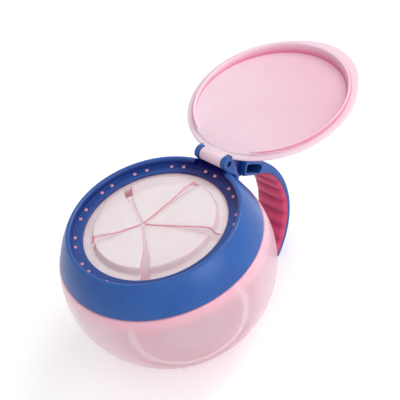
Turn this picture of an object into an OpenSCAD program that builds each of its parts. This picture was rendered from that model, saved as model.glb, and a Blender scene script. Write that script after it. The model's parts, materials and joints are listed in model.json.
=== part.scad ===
// Toddler snack container: a ball-shaped cup with a screw collar, a five-flap soft guard,
// a hinged snap lid and a side handle. Millimetres. The origin is the centre of the base,
// Z is up, the hinge and the handle are at +Y and the hinge pin lies along X.

/* [Ball] */
// Radius of the ball that the collar's outer skin lies on
ball_r = 53.0; // [52:0.5:55]
// Height of the ball's centre above the base
ball_z = 47.5; // [46.5:0.1:48.5]
// How far the bowl stands proud of the collar's ball at its widest
belly_proud = 0.6; // [0.3:0.1:1.2]
// Radius of the bowl wall's curve, seen in section
wall_arc = 48.5; // [46:0.5:50]

/* [Bowl] */
// Wall thickness of the bowl
bowl_wall = 2.2; // [1.6:0.1:2.6]
// Thickness of the bowl's floor
floor_t = 6; // [4.6:0.2:7]
// Height at which the ball is cut for the flat foot, whose edge is straight below it
foot_h = 1.6; // [1:0.2:3]
// Height of the shoulder that the collar stands on
seat_z = 62; // [61:0.1:62.8]
// Height of the neck above the shoulder
neck_h = 8.6; // [8.2:0.1:9.4]
// How far the neck's outside lies beyond the rim's opening
neck_out = 2.5; // [2.2:0.1:3]

/* [Thread] */
// Number of thread starts
thread_starts = 4; // [3:1:5]
// Rise of the collar in one full turn
thread_lead = 24; // [20:1:28]
// How far a thread ridge stands out from the neck
thread_depth = 1.3; // [1.1:0.1:1.5]
// Half height of a ridge at its crest
thread_crest = 0.6; // [0.4:0.1:0.7]
// Arc of each ridge on the neck, in degrees
ridge_arc = 40; // [30:2:46]
// Arc of each lug in the collar, in degrees
lug_arc = 24; // [16:2:30]
// Distance from the neck's top down to the middle of the ridges
ridge_down = 2.6; // [2.5:0.1:3]

/* [Collar] */
// Radius of the rim's round crest, between the ball and the opening
rim_round = 1.47; // [1.2:0.01:1.8]
// Depth of the rim above the ledge
rim_depth = 3.9; // [3.6:0.1:4.4]
// Width of the ledge round the guard
ledge_w = 5.1; // [4.2:0.1:6]
// Thickness of the ledge
ledge_t = 1.2; // [1:0.1:1.6]
// Thickness of the collar's outer skin
skin_t = 2; // [1.6:0.1:2.2]
// Thickness of the threaded skirt
skirt_t = 1.6; // [1.2:0.1:1.8]

/* [Snack guard] */
// Thickness of the soft guard
guard_t = 1.2; // [1:0.1:1.5]
// Width of the flat ring between the ledge and the raised middle
ring_w = 6; // [5:0.5:7]
// Height of the raised middle above the flat ring
dome_h = 3.5; // [2.8:0.1:3.7]
// Thickness of the step round the raised middle
dome_wall = 1.3; // [1:0.1:1.6]
// Place across the cup where the slits meet
star_x = -3.7; // [-4.5:0.1:4.5]
// Place front to back where the slits meet
star_y = -4.4; // [-4.5:0.1:4.5]
// Radius of the hole where the slits meet
star_r = 1.3; // [0.8:0.1:2]
// Half width of a slit near the middle
slit_half = 0.35; // [0.25:0.05:0.6]
// Half width of a slit at the step
slit_flare = 2.1; // [1.5:0.1:2.6]
// Number of pairs of pegs that hold the guard in the ledge
peg_pairs = 13; // [9:1:15]
// Diameter of a peg
peg_d = 1.8; // [1.4:0.1:2.2]
// Distance of the pegs from the rim's wall
peg_in = 1.25; // [1.1:0.05:1.6]
// Half angle between the two pegs of a pair
peg_half_angle = 4.6; // [3.6:0.2:5.4]

/* [Neck seal] */
// Thickness of the seal between the neck and the guard
seal_t = 0.9; // [0.7:0.1:1.2]
// Width of the seal across its band
seal_w = 3.2; // [2.4:0.2:3.4]

/* [Lid] */
// How far the lid's flange reaches past the rim opening
flange_out = 2.7; // [2:0.1:3]
// Thickness of the flange
flange_t = 1.3; // [1.1:0.1:1.6]
// Height of the middle's underside over the flange's, on the lid's axis
panel_rise = 0.75; // [0.6:0.05:1.2]
// Slope of the lid's middle, down to the hinge, in degrees
panel_tilt = 3.5; // [2.5:0.5:4]
// Thickness of the lid's middle
panel_t = 1.7; // [1.3:0.1:2]
// Wall of the plug ring at its end
plug_wall = 1.4; // [1.2:0.1:1.8]
// Depth of the plug ring below the flange
plug_depth = 2; // [1.7:0.1:2.4]
// Width of the ramp that takes the plug ring's place at the hinge
ring_gap = 36; // [26:1:42]
// Width of the thumb lip
lip_w = 52; // [36:1:56]
// How far the thumb lip stands out
lip_out = 1.9; // [1.2:0.1:2.6]
// Angle of the thumb lip from straight opposite the hinge
lip_turn = 14; // [0:1:20]
// Angle by which the lid is opened, as drawn
lid_open = 178; // [170:1:180]

/* [Hinge] */
// Distance of the hinge pin behind the rim opening
hinge_back = 3.75; // [3.7:0.05:4.1]
// Height of the hinge pin above the rim
hinge_up = 2.85; // [2.6:0.05:3.1]
// Length of the hinge pin
pin_len = 18.4; // [17:0.2:19.6]
// Diameter of the hinge pin
pin_d = 2.6; // [2.2:0.1:2.8]
// Radius of an ear's round head
ear_r = 3.7; // [3.5:0.1:4]
// Distance over both ears
ear_span = 20.6; // [20:0.1:21.4]
// Thickness of an ear
ear_t = 3; // [2.6:0.1:3.4]
// Radius of the lid's knuckle
knuckle_r = 3.3; // [3.1:0.1:3.5]
// How far the rim is cut down below the knuckle's room
notch_drop = 1.5; // [1:0.1:1.8]

/* [Handle] */
// Radius of the handle's outer curve
handle_r = 43; // [42:0.5:45]
// How far that curve's centre lies inside the ball's skin
handle_in = 19.1; // [18.5:0.1:20]
// How far that curve's centre lies below the ball's
handle_drop = 11.1; // [10.5:0.1:11.6]
// Width of the handle
handle_w = 20; // [18:1:24]
// Thickness of the handle's band at the grip
band_t = 2; // [1.6:0.1:2.4]
// Thickness of the handle where its root starts to widen
waist_t = 3.9; // [3.4:0.1:4.4]
// Depth of the handle's root where it meets the collar
root_t = 8; // [7.6:0.1:8.4]
// Thickness of the grip between its ribs
grip_t = 2.5; // [2.3:0.1:2.8]
// How far the grip's ribs stand up
rib_h = 1; // [0.8:0.1:1.3]
// Number of ribs across the grip
ribs = 7; // [5:1:9]
// Height of the handle's free end above the base
tip_up = 1; // [0.8:0.2:6]

/* [Hidden] */
$fn = 96;

// Clearances
gap = 0.3;         // between curved faces that slide or turn
seat_gap = 0.1;    // between flat faces that are clamped
collar_lift = 0.2; // the collar's edge over the bowl's shoulder
thread_play = 0.1; // between a lug and the ridge above it
pin_gap = 0.075;   // round the pin, in the lid's knuckle
press_gap = 0.02;  // round the pin, in the ears
peg_gap = 0.12;    // round a peg
plug_gap = 0.4;    // round the plug ring
fold_gap = 0.45;   // between a flap's root and the guard
core_gap = 0.2;    // between the handle's core, the ears and the open lid
knuckle_gap = 0.4; // round the lid's knuckle, in the collar
ear_gap = 0.5;     // round the ears, in the lid
seat_step = 0.2;   // from the neck's edge in to the guard's

// Heights, from the shoulder up
neck_top = seat_z + neck_h;
seal_z = neck_top + seat_gap;
guard_z = seal_z + seal_t + seat_gap;
ledge_z = guard_z + guard_t;
ledge_top = ledge_z + ledge_t;
rim_top = ledge_top + rim_depth;
dome_top = ledge_z + dome_h;
dome_under = dome_top - guard_t;

// Radii, from the ball inwards. The crest's circle touches the ball from inside.
crest_z = rim_top - rim_round;
crest_mid = sqrt(pow(ball_r - rim_round, 2) - pow(crest_z - ball_z, 2));
crest_lean = atan2(crest_z - ball_z, crest_mid);
crest_step = 0.02;
rim_r = crest_mid - rim_round;
ledge_r = rim_r - ledge_w;
dome_r = ledge_r - ring_w;
neck_r = rim_r + neck_out;
neck_in = neck_r - bowl_wall;
mouth_edge = 0.7;
bore_r = neck_r + thread_depth + gap;
guard_r = neck_r - seat_step;
peg_r = rim_r - peg_in;
bowl_r = ball_r + belly_proud;
wall_centre = bowl_r - wall_arc;
foot_r = wall_centre + sqrt(pow(wall_arc, 2) - pow(ball_z - foot_h, 2)) - 0.3;

// Slits: where they end in the step and in the flat ring
slit_in = 0.6;
slit_lap = 2.5;
slit_end = ledge_r - 1.2;

// Thread: the ridges and the lugs lie along one helix, the lugs below the ridges
thread_r = neck_r + thread_depth / 2;
thread_slope = 0.5;
thread_root = thread_crest + thread_slope;
thread_bite = 0.4;
thread_tilt = atan(thread_lead / (2 * PI * thread_r));
thread_from = 45;
ridge_z = neck_top - ridge_down;
lug_z = ridge_z - thread_crest - thread_root - thread_play;

// Hinge
hinge_y = rim_r + hinge_back;
hinge_z = rim_top + hinge_up;
ear_bite = 0.5;
ear_root = 1.5;
ear_x = ear_span / 2;
ear_in = ear_x - ear_t;
ear_back = hinge_y + ear_r;
ear_foot = ball_z + sqrt(pow(ball_r, 2) - pow(ear_back, 2)) - ear_bite;
knuckle_half = ear_in - gap;
knuckle_room = knuckle_r + knuckle_gap;
notch_z = hinge_z - knuckle_room - notch_drop;

// Lid, drawn closed
lid_r = rim_r + flange_out;
flange_z = rim_top + gap;
flange_top = flange_z + flange_t;
plug_r = rim_r - plug_gap;
plug_z = flange_z - plug_depth;
cap_top = panel_z(-plug_r) + panel_t + 1;
cap_draft = 24;
recess_draft = 23;
ramp_len = 7.5;
bead_h = 0.5;
bead_out = 0.2;

// Thumb lip: one arc through its tip and two points of the flange's edge
lip_rise = lid_r + lip_out - sqrt(pow(lid_r, 2) - pow(lip_w / 2, 2));
lip_r = (pow(lip_w / 2, 2) + pow(lip_rise, 2)) / (2 * lip_rise);

// Handle, in its own round section: angles from the horizontal
handle_y = ball_r - handle_in;
handle_z = ball_z - handle_drop;
band_r = handle_r - band_t;
root_r = handle_r - root_t;
grip_r = band_r - grip_t;
crest_r = grip_r - rib_h;
tip_angle = -asin((handle_z - tip_up) / handle_r);
grip_end = 27;
band_end = -8;
waist_end = 29;
root_end = 47;
shoulder_angle = 59.5;
bar_edge = 0.8;
pocket_wall = 1.7;
pocket_web = 2;
tip_corner = 2;
rib_round = 4.5;
crown_h = rib_h - 0.2;

// Core between the ears and the wide part of the arm, with a flat on which the open lid rests
core_deep = 15;
core_up = 2.5;
core_cover = 2.2;
rest_z = 2 * hinge_z - flange_top - core_gap;
rest_from = hinge_y + knuckle_room;
rest_len = 4;

slit_angles = [for (k = [0:4]) -54 + 72 * k];
star = [star_x, star_y];

collar_blue = [0.2, 0.38, 0.7];
soft_pink = [0.93, 0.83, 0.86];
lid_pink = [0.95, 0.82, 0.88];
grip_red = [0.76, 0.28, 0.45];
bowl_pink = [0.9, 0.7, 0.77];

function polar(r, a) = [r * cos(a), r * sin(a)];

// Height of the sloping underside of the closed lid's middle
function panel_z(y) = flange_z + panel_rise - y * tan(panel_tilt);

// Radius of the handle's inner face at angle a: band, waist, root
function inner_r(a) = lookup(a, [[band_end, band_r], [waist_end, handle_r - waist_t], [root_end, root_r]]);

// A point of the guard's middle, at share t of the way from the star to slit k's outer end
function slit_point(k, t) = star + t * (polar(dome_r - slit_in, slit_angles[k % 5]) - star);

// ---- Shared shapes ----

// A flat outline in Y and Z, made as thick as w along X
module across(w) {
    rotate([90, 0, 90]) linear_extrude(height = w, center = true) children();
}

// A part ring about the handle curve's centre, from angle a0 to a1
module handle_sector(r_in, r_out, a0, a1) {
    reach = handle_r * 2;
    translate([handle_y, handle_z])
        intersection() {
            difference() {
                circle(r = r_out, $fn = 180);
                circle(r = r_in, $fn = 180);
            }
            polygon([[0, 0], polar(reach, a0), polar(reach, (a0 + a1) / 2), polar(reach, a1)]);
        }
}

// A short stretch of thread: a part ring tilted to the helix, centred on +X
module thread_stretch(section, arc) {
    rotate([thread_tilt, 0, 0])
        rotate([0, 0, -arc / 2])
            rotate_extrude(angle = arc) polygon(section);
}

module thread_ring(section, arc, z) {
    for (k = [0 : thread_starts - 1])
        translate([0, 0, z])
            rotate([0, 0, thread_from + 360 / thread_starts * k])
                thread_stretch(section, arc);
}

// A bar along the hinge pin's line
module on_hinge(r, h, fn = 64) {
    translate([0, hinge_y, hinge_z]) rotate([0, 90, 0]) cylinder(r = r, h = h, center = true, $fn = fn);
}

// ---- Bowl ----

// The curved wall in section, drawn in by t from the outer face
module wall_section(t, z_low, z_high) {
    intersection() {
        translate([wall_centre, ball_z]) circle(r = wall_arc - t, $fn = 180);
        translate([0, z_low]) square([bowl_r, z_high - z_low]);
    }
}

// The lower half of the inside: the wall thickens down to the floor
module base_section() {
    inside_r = ball_z - floor_t;
    flat_r = bowl_r - bowl_wall - inside_r;
    intersection() {
        translate([flat_r, ball_z]) circle(r = inside_r, $fn = 180);
        translate([flat_r, 0]) square([bowl_r, ball_z]);
    }
    translate([0, floor_t]) square([flat_r, inside_r]);
}

module bowl_section() {
    difference() {
        union() {
            wall_section(0, foot_h, seat_z);
            square([foot_r, foot_h * 2]);
            translate([0, seat_z - bowl_wall]) square([neck_r, neck_h + bowl_wall]);
        }
        wall_section(bowl_wall, ball_z, seat_z - bowl_wall);
        base_section();
        translate([0, seat_z - 2 * bowl_wall]) square([neck_in, neck_h * 2]);
    }
}

module bowl() {
    color(bowl_pink, 0.6) {
        difference() {
            rotate_extrude($fn = 180) bowl_section();
            // lead-in round the mouth
            translate([0, 0, neck_top - mouth_edge])
                cylinder(r1 = neck_in - 0.1, r2 = neck_in + mouth_edge, h = mouth_edge + 0.1);
        }
        thread_ring([[neck_r - thread_bite, -thread_root], [neck_r - thread_bite, thread_root],
                     [neck_r + thread_depth, thread_crest], [neck_r + thread_depth, -thread_crest]],
                    ridge_arc, ridge_z);
    }
}

module neck_seal() {
    color("white") translate([0, 0, seal_z])
        difference() {
            cylinder(r = neck_in + seal_w, h = seal_t);
            translate([0, 0, -1]) cylinder(r = neck_in, h = seal_t + 2);
        }
}

// ---- Collar ----

module collar_section() {
    foot_z = seat_z + collar_lift;
    reach = ball_r + 1;
    difference() {
        union() {
            intersection() {
                translate([0, ball_z]) circle(r = ball_r, $fn = 180);
                polygon([[0, foot_z], [reach, foot_z], [0, ball_z] + polar(reach, crest_lean),
                         [crest_mid, crest_z], [0, crest_z]]);
            }
            translate([crest_mid, crest_z]) circle(r = rim_round - crest_step, $fn = 48);
        }
        translate([0, ledge_top]) square([rim_r, rim_depth]);
        square([ledge_r, rim_top * 2]);
        square([guard_r + gap, ledge_z]);
        square([bore_r, guard_z]);
        // hollow between the threaded skirt and the outer skin
        intersection() {
            translate([0, ball_z]) circle(r = ball_r - skin_t, $fn = 180);
            translate([bore_r + skirt_t, 0]) square([ball_r, ledge_z]);
        }
    }
}

// An ear: a web up the ball's side with a round head about the pin
module ear_outline() {
    polygon([[hinge_y - ear_r, hinge_z], [ear_back, hinge_z], [ear_back, ear_foot], [bore_r + skirt_t, ear_foot],
             [bore_r + skirt_t, guard_z], [rim_r + ear_root, ledge_z + ear_bite]]);
    translate([hinge_y, hinge_z]) circle(r = ear_r);
}

module peg_places() {
    for (k = [0 : peg_pairs - 1], side = [-1, 1])
        rotate([0, 0, 90 + 360 / peg_pairs * k + side * peg_half_angle])
            translate([peg_r, 0, 0]) children();
}

module collar() {
    color(collar_blue)
        difference() {
            union() {
                difference() {
                    rotate_extrude($fn = 180) collar_section();
                    peg_places() translate([0, 0, ledge_z - 1])
                        cylinder(d = peg_d + 2 * peg_gap, h = ledge_t + 2, $fn = 24);
                    // the rim is cut down between the ears
                    translate([-ear_in, rim_r - 2, notch_z])
                        cube([2 * ear_in, hinge_y - rim_r + 3, hinge_z - notch_z]);
                }
                thread_ring([[neck_r + gap, -thread_crest], [neck_r + gap, thread_crest],
                             [bore_r + thread_bite, thread_root], [bore_r + thread_bite, -thread_root]],
                            lug_arc, lug_z);
                for (side = [-1, 1])
                    translate([side * (ear_x - ear_t / 2), 0, 0]) across(ear_t) ear_outline();
            }
            on_hinge(pin_d / 2 + press_gap, ear_span + 2, 48);
        }
}

// ---- Handle ----

module handle_arm() {
    color(collar_blue)
        difference() {
            union() {
                difference() {
                    across(handle_w)
                        difference() {
                            handle_sector(root_r - 2, handle_r, tip_angle, shoulder_angle);
                            inner_outline(0);
                        }
                    handle_sweep(-180, 180) edge_section();
                }
                across(2 * (ear_in - core_gap)) core_outline();
            }
            // the collar's own ball
            translate([0, 0, ball_z]) sphere(r = ball_r, $fn = 180);
            // side pockets, with a web between them
            for (side = [-1, 1])
                translate([side * (handle_w + pocket_web) / 2, 0, 0]) across(handle_w) pocket_outline();
            tip_corners();
        }
}

// What lies inside the handle's inner face, less a seat of depth t on it
module inner_outline(t) {
    steps = 24;
    polygon([[handle_y, handle_z],
             for (k = [-1 : steps + 1])
                 let (a = tip_angle + (shoulder_angle - tip_angle) * k / steps) polar_at(inner_r(a) - t, a)]);
}

// A pocket in the root's side, round at its lower end
module pocket_outline() {
    half = (root_t - 2 * pocket_wall) / 2;
    handle_sector(root_r + pocket_wall, handle_r - pocket_wall, root_end - 2.8, shoulder_angle - 1.5);
    translate(polar_at(handle_r - root_t / 2, root_end - 2.8)) circle(r = half, $fn = 48);
}

// The core starts inside the ball, ends inside the wide part and carries the lid's rest on top
module core_outline() {
    polygon([[hinge_y - core_deep, seat_z + core_up], polar_at(root_r + 0.5, root_end + 3),
             polar_at(handle_r - bar_edge, shoulder_angle - 2), [rest_from + rest_len, rest_z], [rest_from, rest_z],
             [rest_from, hinge_z - knuckle_room / 2], [hinge_y, hinge_z - knuckle_room - core_cover]]);
}

// A point of the handle's round section, in Y and Z
function polar_at(r, a) = [handle_y + r * cos(a), handle_z + r * sin(a)];

// Bends a section, radius along X and width along Y, round the handle curve's centre
module handle_sweep(a0, a1) {
    translate([0, handle_y, handle_z]) rotate([0, 90, 0]) rotate([0, 0, a0 + 90])
        rotate_extrude(angle = a1 - a0, $fn = 180) children();
}

// What is cut off the handle's two outer long edges
module edge_section() {
    for (side = [-1, 1])
        translate([handle_r, side * handle_w / 2])
            polygon([[-bar_edge - 1, side], [1, side], [1, -side * (bar_edge + 1)]]);
}

// Rounds the corners of the handle's free end
module tip_corners() {
    blunt = 0.1;
    for (side = [-1, 1])
        translate([side * (handle_w / 2 - tip_corner + blunt), handle_y, tip_up + tip_corner - blunt])
            difference() {
                translate([side > 0 ? 0 : -tip_corner - 1, 0, -tip_corner - 2])
                    cube([tip_corner + 1, handle_r, tip_corner + 2]);
                rotate([-90, 0, 0]) cylinder(r = tip_corner, h = handle_r + 1);
            }
}

// The grip's crown across the handle
module crown_section() {
    half = handle_w / 2;
    crown_r = (pow(half, 2) + pow(crown_h, 2)) / (2 * crown_h);
    intersection() {
        translate([crest_r + crown_r, 0]) circle(r = crown_r, $fn = 180);
        translate([0, -half]) square([handle_r, handle_w]);
    }
}

module handle_grip() {
    pitch = (grip_end - tip_angle - 4) / ribs;
    color(grip_red)
        difference() {
            intersection() {
                handle_sweep(tip_angle + 0.5, grip_end) crown_section();
                across(handle_w) intersection() {
                    inner_outline(seat_gap);
                    union() {
                        handle_sector(grip_r, handle_r, tip_angle, grip_end + 1);
                        // one round rib after another along the inner face
                        for (k = [0 : ribs - 1])
                            translate(polar_at(crest_r + rib_round, tip_angle + 2.5 + pitch * (k + 0.5)))
                                circle(r = rib_round, $fn = 32);
                    }
                }
            }
            tip_corners();
        }
}

// ---- Snack guard ----

// A slit's outline: narrow from the star, then flaring to the step and on into the flat ring
module slit_outline(k) {
    a = slit_angles[k % 5];
    tip = slit_point(k, 0);
    waist = slit_point(k, 0.55);
    foot = slit_point(k, 1);
    along = (foot - tip) / norm(foot - tip);
    side = [-along[1], along[0]];
    polygon([tip - slit_half * side, tip + slit_half * side, waist + slit_half * 1.5 * side,
             foot + slit_flare * side, foot - slit_flare * side, waist - slit_half * 1.5 * side]);
    // a straight run from inside the slit's foot to its outer end
    rotate([0, 0, a]) translate([dome_r - slit_lap, -slit_flare])
        square([slit_end - dome_r + slit_lap, 2 * slit_flare]);
}

module guard_section() {
    translate([dome_r, guard_z]) square([guard_r - dome_r, guard_t]);
    translate([dome_r, guard_z]) square([dome_wall, dome_top - guard_z]);
    translate([0, dome_under]) square([dome_r + 0.1, guard_t]);
}

module flap_outline(k) {
    difference() {
        polygon([slit_point(k, 0), slit_point(k, 1), slit_point(k + 1, 1)]);
        slit_outline(k);
        slit_outline(k + 1);
        translate(star) circle(r = star_r, $fn = 24);
    }
}

module snack_guard() {
    color(soft_pink, 0.7)
        difference() {
            union() {
                rotate_extrude($fn = 180) guard_section();
                // pegs, a little proud of the ledge
                peg_places() translate([0, 0, ledge_z - 0.2])
                    cylinder(d = peg_d, h = ledge_t + 0.3, $fn = 24);
            }
            through_guard() polygon([for (k = [0:4]) slit_point(k, 1)]);
            for (k = [0:4]) through_guard() slit_outline(k);
        }
}

// An outline cut right through the guard's height
module through_guard() {
    translate([0, 0, guard_z - 1]) linear_extrude(height = dome_top - guard_z + 2) children();
}

// One soft flap, flat, between slits k and k + 1; it folds about its straight root
module flap(k) {
    a = slit_point(k, 1);
    b = slit_point(k + 1, 1);
    root = (b - a) / norm(b - a);
    inward = [-root[1], root[0]];
    past = dome_r / 3;
    color(soft_pink, 0.7)
        translate([0, 0, dome_under])
            linear_extrude(height = guard_t)
                difference() {
                    flap_outline(k);
                    // the gap at the root
                    polygon([a - past * (root + inward), b + past * (root - inward),
                             b + past * root + fold_gap * inward, a - past * root + fold_gap * inward]);
                }
}

module flap_1() { flap(0); }
module flap_2() { flap(1); }
module flap_3() { flap(2); }
module flap_4() { flap(3); }
module flap_5() { flap(4); }

// ---- Lid ----

// The flange with its round edge, the plug ring with its snap bead
module lid_section() {
    edge = flange_t / 2;
    translate([0, flange_z]) square([lid_r - edge, flange_t]);
    translate([lid_r - edge, flange_z + edge]) circle(r = edge * 0.999, $fn = 24);
    polygon([[0, plug_z], [plug_r - bead_h, plug_z], [plug_r, plug_z + bead_h], [plug_r + bead_out, plug_z + 2 * bead_h],
             [plug_r, plug_z + 3 * bead_h], [plug_r, flange_z + edge], [0, flange_z + edge]]);
}

// A drafted drum from height z0 to the cap's top, of radius r at z1
module drum(r, z1, z0, draft) {
    shrink = tan(draft);
    translate([0, 0, z0])
        cylinder(r1 = r + (z1 - z0) * shrink, r2 = r + (z1 - cap_top) * shrink, h = cap_top - z0, $fn = 180);
}

// All that lies below the sloping underside of the lid's middle, raised by t
module below_panel(t) {
    reach = 2 * lid_r;
    translate([0, 0, panel_z(0) + t]) rotate([-panel_tilt, 0, 0])
        translate([-reach, -reach, -reach]) cube([2 * reach, 2 * reach, reach]);
}

module lid_closed() {
    ramp_from = plug_r - ramp_len;
    tab_from = plug_r - plug_wall / 2;
    difference() {
        union() {
            difference() {
                union() {
                    rotate_extrude($fn = 180) lid_section();
                    intersection() {
                        drum(plug_r, flange_top, flange_z + flange_t / 2, cap_draft);
                        below_panel(panel_t);
                    }
                }
                intersection() {
                    drum(plug_r - plug_wall, plug_z, plug_z - 1, recess_draft);
                    below_panel(0);
                }
                // at the hinge a ramp takes the plug ring's place
                across(ring_gap) polygon([[ramp_from, panel_z(ramp_from)], [plug_r + 1, flange_z - seat_gap / 2],
                                          [plug_r + 1, plug_z - 1], [ramp_from, plug_z - 1]]);
            }
            // thumb lip
            translate([0, 0, flange_z]) rotate([0, 0, lip_turn])
                linear_extrude(height = flange_t)
                    difference() {
                        translate([0, lip_r - lid_r - lip_out]) circle(r = lip_r, $fn = 180);
                        circle(r = plug_r - plug_wall / 2, $fn = 180);
                    }
            // tab to the knuckle, level with the knuckle's underside there
            across(2 * knuckle_half) polygon([[hinge_y, hinge_z - knuckle_r], [tab_from, flange_z],
                                              [tab_from, flange_top], [hinge_y, flange_top]]);
            on_hinge(knuckle_r, 2 * knuckle_half);
        }
        // room for the ears
        for (side = [-1, 1])
            translate([side * (ear_x + ear_in) / 2, 0, 0]) on_hinge(ear_r + ear_gap, ear_t + 2 * gap);
        on_hinge(pin_d / 2 + pin_gap, ear_span, 48);
    }
}

module lid() {
    color(lid_pink)
        translate([0, hinge_y, hinge_z]) rotate([-lid_open, 0, 0]) translate([0, -hinge_y, -hinge_z]) lid_closed();
}

module hinge_pin() {
    color("silver") on_hinge(pin_d / 2, pin_len, 48);
}

bowl();
neck_seal();
collar();
handle_arm();
handle_grip();
snack_guard();
flap_1();
flap_2();
flap_3();
flap_4();
flap_5();
lid();
hinge_pin();
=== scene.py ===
"""The looks of a toddler snack container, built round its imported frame.

Lengths are in millimetres and angles in degrees, unless a line says otherwise."""
import json
import math
import bmesh
import bpy
from mathutils import Matrix, Vector


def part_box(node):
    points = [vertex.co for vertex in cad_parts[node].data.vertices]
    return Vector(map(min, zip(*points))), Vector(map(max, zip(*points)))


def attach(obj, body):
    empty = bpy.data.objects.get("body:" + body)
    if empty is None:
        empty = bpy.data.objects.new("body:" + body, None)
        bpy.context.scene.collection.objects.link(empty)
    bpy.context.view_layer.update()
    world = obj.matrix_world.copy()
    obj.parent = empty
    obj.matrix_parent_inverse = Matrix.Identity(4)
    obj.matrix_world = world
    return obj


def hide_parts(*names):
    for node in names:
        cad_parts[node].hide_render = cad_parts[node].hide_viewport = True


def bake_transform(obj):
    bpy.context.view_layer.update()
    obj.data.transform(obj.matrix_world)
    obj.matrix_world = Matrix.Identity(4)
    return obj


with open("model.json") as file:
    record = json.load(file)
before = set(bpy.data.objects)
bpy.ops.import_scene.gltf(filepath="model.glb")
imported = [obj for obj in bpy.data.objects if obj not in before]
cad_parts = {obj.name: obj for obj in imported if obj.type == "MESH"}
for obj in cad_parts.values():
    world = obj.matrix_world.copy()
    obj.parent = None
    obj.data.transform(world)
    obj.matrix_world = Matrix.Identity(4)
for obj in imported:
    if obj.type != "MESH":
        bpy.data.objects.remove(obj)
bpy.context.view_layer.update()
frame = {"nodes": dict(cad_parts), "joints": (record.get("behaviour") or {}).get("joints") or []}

MM = 0.001  # metres in a millimetre

# ---- Driving dimensions, as in the CAD ----

BALL_R = 53.0
BALL_Z = 47.5
WALL_ARC = 48.5
BOWL_WALL = 2.2
FLOOR_T = 6.0
FOOT_H = 1.6
SEAT_Z = 62.0
COLLAR_LIFT = 0.2
THREAD_STARTS = 4
THREAD_LEAD = 24
THREAD_DEPTH = 1.3
THREAD_CREST = 0.6
THREAD_ROOT = 1.1
THREAD_FROM = 45
RIDGE_ARC = 40
LUG_ARC = 24
RIDGE_DOWN = 2.6
GAP = 0.3
RIM_ROUND = 1.47
RIM_DEPTH = 3.9
LEDGE_W = 5.1
LEDGE_T = 1.2
SKIN_T = 2.0
SKIRT_T = 1.6
NECK_OUT = 2.5
RING_W = 6.0
GUARD_T = 1.2
DOME_WALL = 1.3
LEAVES = 5
LEAF_ARC = 360 / LEAVES
FIRST_SLIT = -54
STAR = Vector((-3.7, -4.4))
SLIT_HALF = 0.35
SLIT_FLARE = 2.1
PEG_PAIRS = 13
PEG_IN = 1.25
PEG_D = 1.8
PEG_HALF_ANGLE = 4.6
PEG_HOLE_D = 2.3
FLANGE_OUT = 2.7
FLANGE_T = 1.3
PANEL_RISE = 0.75
PANEL_TILT = 3.5
PANEL_T = 1.7
PLUG_WALL = 1.4
PLUG_DEPTH = 2.0
PLUG_GAP = 0.4
RAMP_LEN = 7.5
RING_GAP = 36
LIP_W = 52
LIP_OUT = 1.9
LIP_TURN = 14
LID_OPEN = 178
EAR_R = 3.7
EAR_SPAN = 20.6
EAR_T = 3.0
KNUCKLE_R = 3.3
KNUCKLE_GAP = 0.4
NOTCH_DROP = 1.5
EAR_GAP = 0.5
PIN_D = 2.6
HANDLE_R = 43.0
HANDLE_IN = 19.1
HANDLE_DROP = 11.1
HANDLE_W = 20
BAND_T = 2.0
WAIST_T = 3.9
ROOT_T = 8.0
GRIP_T = 2.5
RIB_H = 1.0
RIBS = 7
TIP_UP = 1.0
TIP_CORNER = 2
GRIP_END = 27
BAND_END = -8
WAIST_END = 29
ROOT_END = 47
SHOULDER_ANGLE = 59.5
POCKET_WALL = 1.7
POCKET_WEB = 2
CORE_GAP = 0.2

# ---- Sizes of the finish, and how fine the meshes are ----

TURN = 256  # steps round a full turn
CREASE = 32  # an edge sharper than this stays sharp
LEAF_EDGE = 0.35  # radius of the round edges along the slits
LEAF_DROOP = 0.3  # how far a leaf sinks along its slits
SWAY = 2.2  # how far round a slit strays from a straight line
RIB_EXTRA = 0.4  # how much the grip's ribs rise over their grooves beyond RIB_H
RIB_SQUARE = 2.4  # how flat the grip is across: higher is flatter
END_EDGE = 0.7  # rounding of the arm's two ends
BAR_EDGE = 0.8  # rounding along the arm
CAP_SLOPE = 2.6  # width over which the lid's cap rises to its middle
FLOOR_GLOW = 0.25  # the floor's own light, seen by the camera and in reflections only
WORLD_FILL = 0.55  # strength of the world's light


# ---- Derived from the frame ----

def box_mm(node):
    """A CAD node's lowest and highest corners."""
    lowest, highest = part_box(node)
    return lowest / MM, highest / MM


bowl_r = box_mm("bowl")[1].x
neck_top = box_mm("bowl")[1].z
guard_z = box_mm("snack_guard")[0].z
dome_under = box_mm("flap_1")[0].z
dome_top = box_mm("flap_1")[1].z
ledge_z = guard_z + GUARD_T
ledge_top = ledge_z + LEDGE_T
rim_top = ledge_top + RIM_DEPTH
crest_z = rim_top - RIM_ROUND
crest_mid = math.sqrt((BALL_R - RIM_ROUND) ** 2 - (crest_z - BALL_Z) ** 2)
crest_lean = math.degrees(math.atan2(crest_z - BALL_Z, crest_mid))
rim_r = crest_mid - RIM_ROUND
ledge_r = rim_r - LEDGE_W
dome_r = ledge_r - RING_W
neck_r = rim_r + NECK_OUT
neck_in = neck_r - BOWL_WALL
bore_r = neck_r + THREAD_DEPTH + GAP
guard_r = neck_r - 0.2
peg_r = rim_r - PEG_IN
foot_z = SEAT_Z + COLLAR_LIFT
wall_mid = bowl_r - WALL_ARC
slit_end = ledge_r - 1.2
step_foot = dome_r + DOME_WALL + 0.7

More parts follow.
